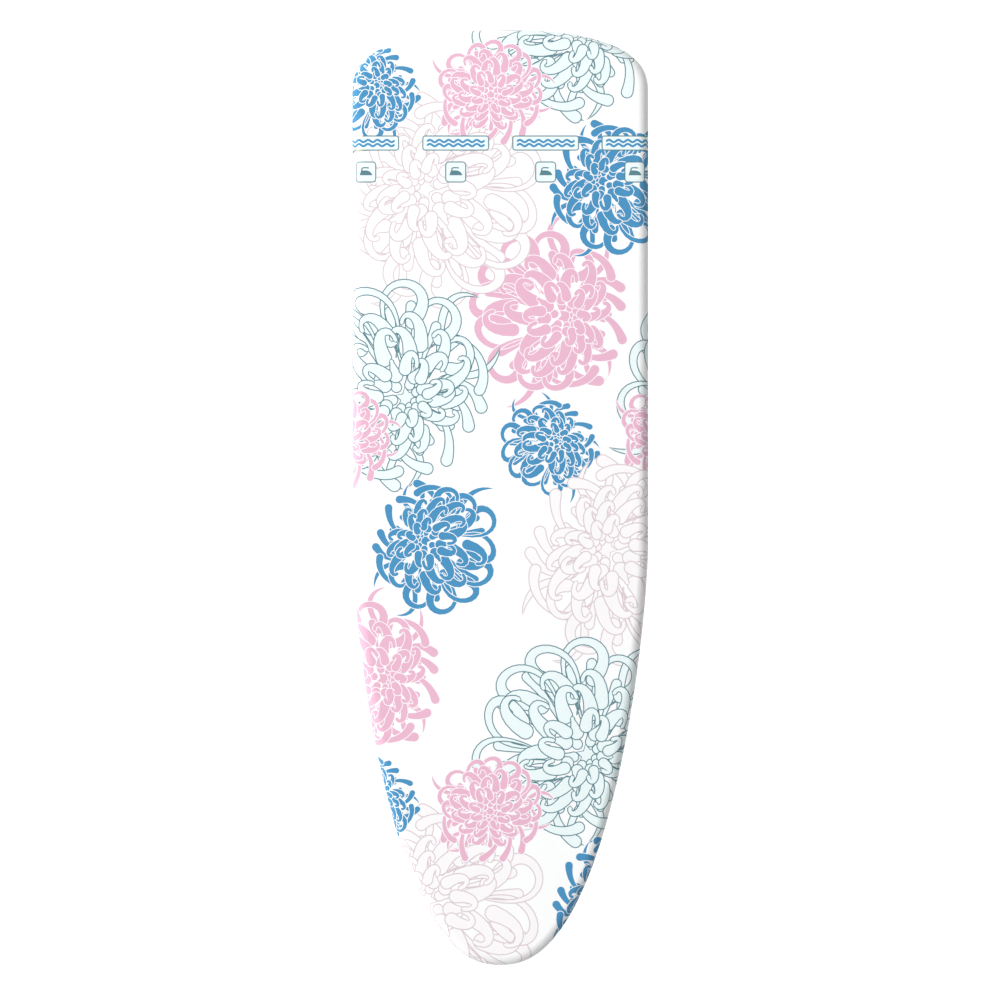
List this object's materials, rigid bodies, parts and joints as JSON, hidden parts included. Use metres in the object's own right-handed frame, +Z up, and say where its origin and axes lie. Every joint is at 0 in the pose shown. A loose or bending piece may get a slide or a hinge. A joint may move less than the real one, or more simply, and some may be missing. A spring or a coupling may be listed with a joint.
{
  "type": "ironing board",
  "caption": "Full-size folding ironing board: padded tapering top with a printed cotton cover on crossed tubular legs, with a sliding height lock and a transport hook.",
  "frame": {"origin": "on the floor, below the middle of the board's top", "axes": "+Z up; +Y along the board, from the narrow nose to the wide end; +X across it, to the right of somebody looking down with the nose towards them"},
  "size_m": [0.406, 1.2, 0.9],
  "materials": {
    "cover_cotton": "white cotton with a blue and pink flower print, matt",
    "hem_cord": "matt braided elastic",
    "foam": "matt foam",
    "felt": "matt needle felt",
    "deck_paint": "satin powder coat on expanded steel",
    "frame_paint": "satin powder coat",
    "leg_paint": "satin powder coat",
    "zinc_steel": "zinc-plated",
    "blue_plastic": "fine-grained moulding",
    "grey_plastic": "matt moulding",
    "rubber": "soft matt rubber"
  },
  "bodies": {
    "board": {"rim_tube": "frame_paint", "deck_sheet": "deck_paint", "brace_wide_end": "frame_paint", "brace_hinge": "frame_paint", "brace_middle": "frame_paint", "brace_front": "frame_paint", "brace_nose": "frame_paint", "hinge_bracket_left": "frame_paint", "hinge_bracket_right": "frame_paint", "hinge_cap_left": "grey_plastic", "hinge_cap_right": "grey_plastic", "hinge_spacer_left": "grey_plastic", "hinge_spacer_right": "grey_plastic", "hinge_rod": "zinc_steel", "guide_rod": "zinc_steel", "guide_clamp_rear": "grey_plastic", "guide_clamp_front": "grey_plastic", "felt_underlay": "felt", "foam_pad": "foam", "cotton_cover": "cover_cotton", "hem_cord": "hem_cord", "hook_bracket": "frame_paint", "hook_pin": "zinc_steel"},
    "outer_leg": {"outer_leg_tube_left": "leg_paint", "outer_leg_tube_right": "leg_paint", "outer_leg_plug_left": "grey_plastic", "outer_leg_plug_right": "grey_plastic", "outer_leg_foot_cap_left": "rubber", "outer_leg_foot_cap_right": "rubber", "pivot_bolt_left": "zinc_steel", "pivot_bolt_right": "zinc_steel", "pivot_nut_left": "zinc_steel", "pivot_nut_right": "zinc_steel", "pivot_spacer_left": "grey_plastic", "pivot_spacer_right": "grey_plastic", "outer_leg_hinge_sleeve": "leg_paint", "outer_leg_cross_tube": "leg_paint", "outer_leg_foot_bar": "leg_paint"},
    "inner_leg": {"inner_leg_tube_left": "leg_paint", "inner_leg_tube_right": "leg_paint", "inner_leg_plug_left": "grey_plastic", "inner_leg_plug_right": "grey_plastic", "inner_leg_foot_cap_left": "rubber", "inner_leg_foot_cap_right": "rubber", "axle_cap_left": "grey_plastic", "axle_cap_right": "grey_plastic", "slider_axle": "zinc_steel", "inner_leg_cross_tube": "leg_paint", "inner_leg_foot_bar": "leg_paint"},
    "carriage": {"carriage_housing": "blue_plastic"},
    "release_lever": {"release_lever": "blue_plastic", "lever_grip": "rubber", "lever_pin": "zinc_steel", "lock_plate": "zinc_steel", "lever_spring": "zinc_steel"},
    "transport_hook": {"transport_hook": "blue_plastic"}
  },
  "joints": [
    {"name": "leg_fold", "type": "hinge", "parent": "board", "child": "outer_leg", "pos_m": [0, 0.395, 0.842], "axis": [-1, 0, 0], "range_deg": [0, 53.4]},
    {"name": "leg_cross", "type": "hinge", "parent": "outer_leg", "child": "inner_leg", "pos_m": [0, 0.17071, 0.5108], "axis": [1, 0, 0], "range_deg": [0, 106.8]},
    {"name": "carriage_level", "type": "hinge", "parent": "inner_leg", "child": "carriage", "pos_m": [0, -0.05358, 0.842], "axis": [-1, 0, 0], "range_deg": [0, 53.4]},
    {"name": "lever_squeeze", "type": "hinge", "parent": "carriage", "child": "release_lever", "pos_m": [0, -0.03758, 0.842], "axis": [1, 0, 0], "range_deg": [0, 9], "stiffness_Nm_per_rad": 0.3, "springref_deg": -17.19},
    {"name": "hook_swing", "type": "hinge", "parent": "board", "child": "transport_hook", "pos_m": [0, 0.48, 0.866], "axis": [-1, 0, 0], "range_deg": [0, 103.6]}
  ],
  "couplings": [
    {"joint": "leg_cross", "follows": "leg_fold", "ratio": 2},
    {"joint": "carriage_level", "follows": "leg_fold", "ratio": 1}
  ]
}
